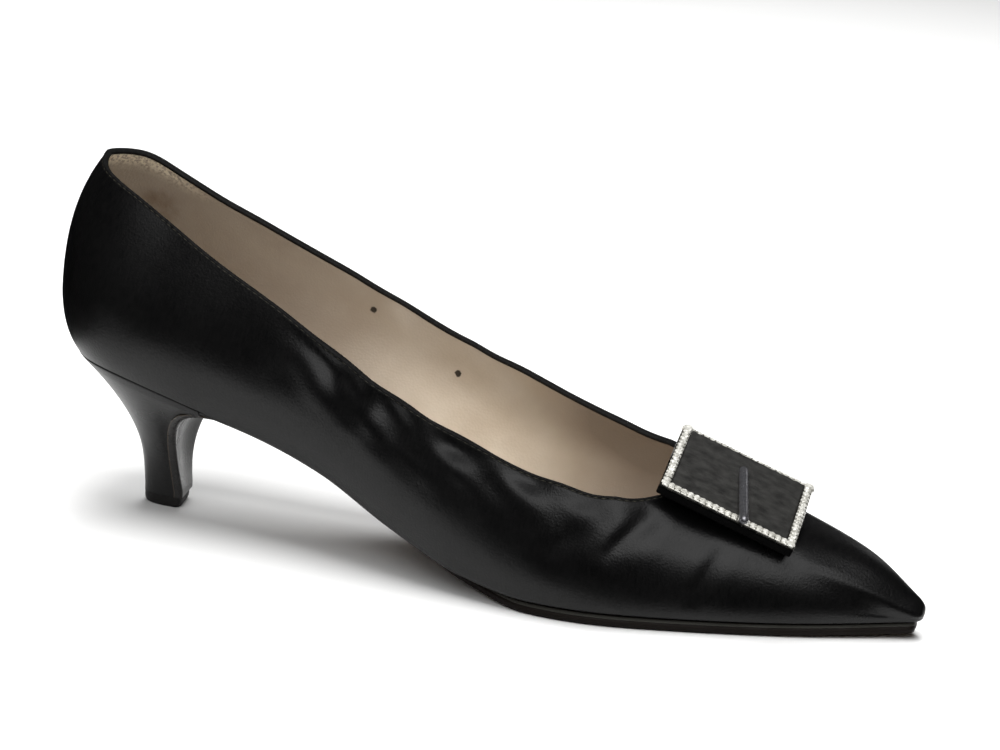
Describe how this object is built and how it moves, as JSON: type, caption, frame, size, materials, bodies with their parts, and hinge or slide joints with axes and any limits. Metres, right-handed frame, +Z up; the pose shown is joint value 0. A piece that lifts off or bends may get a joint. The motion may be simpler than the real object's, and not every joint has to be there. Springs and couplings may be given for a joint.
{
  "type": "kitten heel shoe",
  "caption": "Pointed satin court shoe on a low curved kitten heel, with a low-cut bound topline and a rectangular paste-set buckle on the vamp.",
  "frame": {"origin": "middle of the shoe's box seen from above, on the floor", "axes": "+X to the toe, +Y to the inner side of the foot, +Z up"},
  "size_m": [0.2494, 0.0704, 0.099],
  "materials": {
    "black_satin": "satin",
    "black_ribbon": "matte",
    "cream_kid": "matte",
    "sole_leather": "matte",
    "black_leather": "gloss",
    "silver_paste": "gloss",
    "black_metal": "gloss"
  },
  "bodies": {
    "root": {"upper": "black_satin", "topline_binding": "black_ribbon", "insole": "cream_kid", "outsole": "sole_leather", "heel": "black_satin", "breast_cover": "black_leather", "top_piece": "black_leather", "buckle_pad": "black_satin", "buckle_frame": "silver_paste", "buckle_prong": "black_metal"}
  },
  "joints": []
}
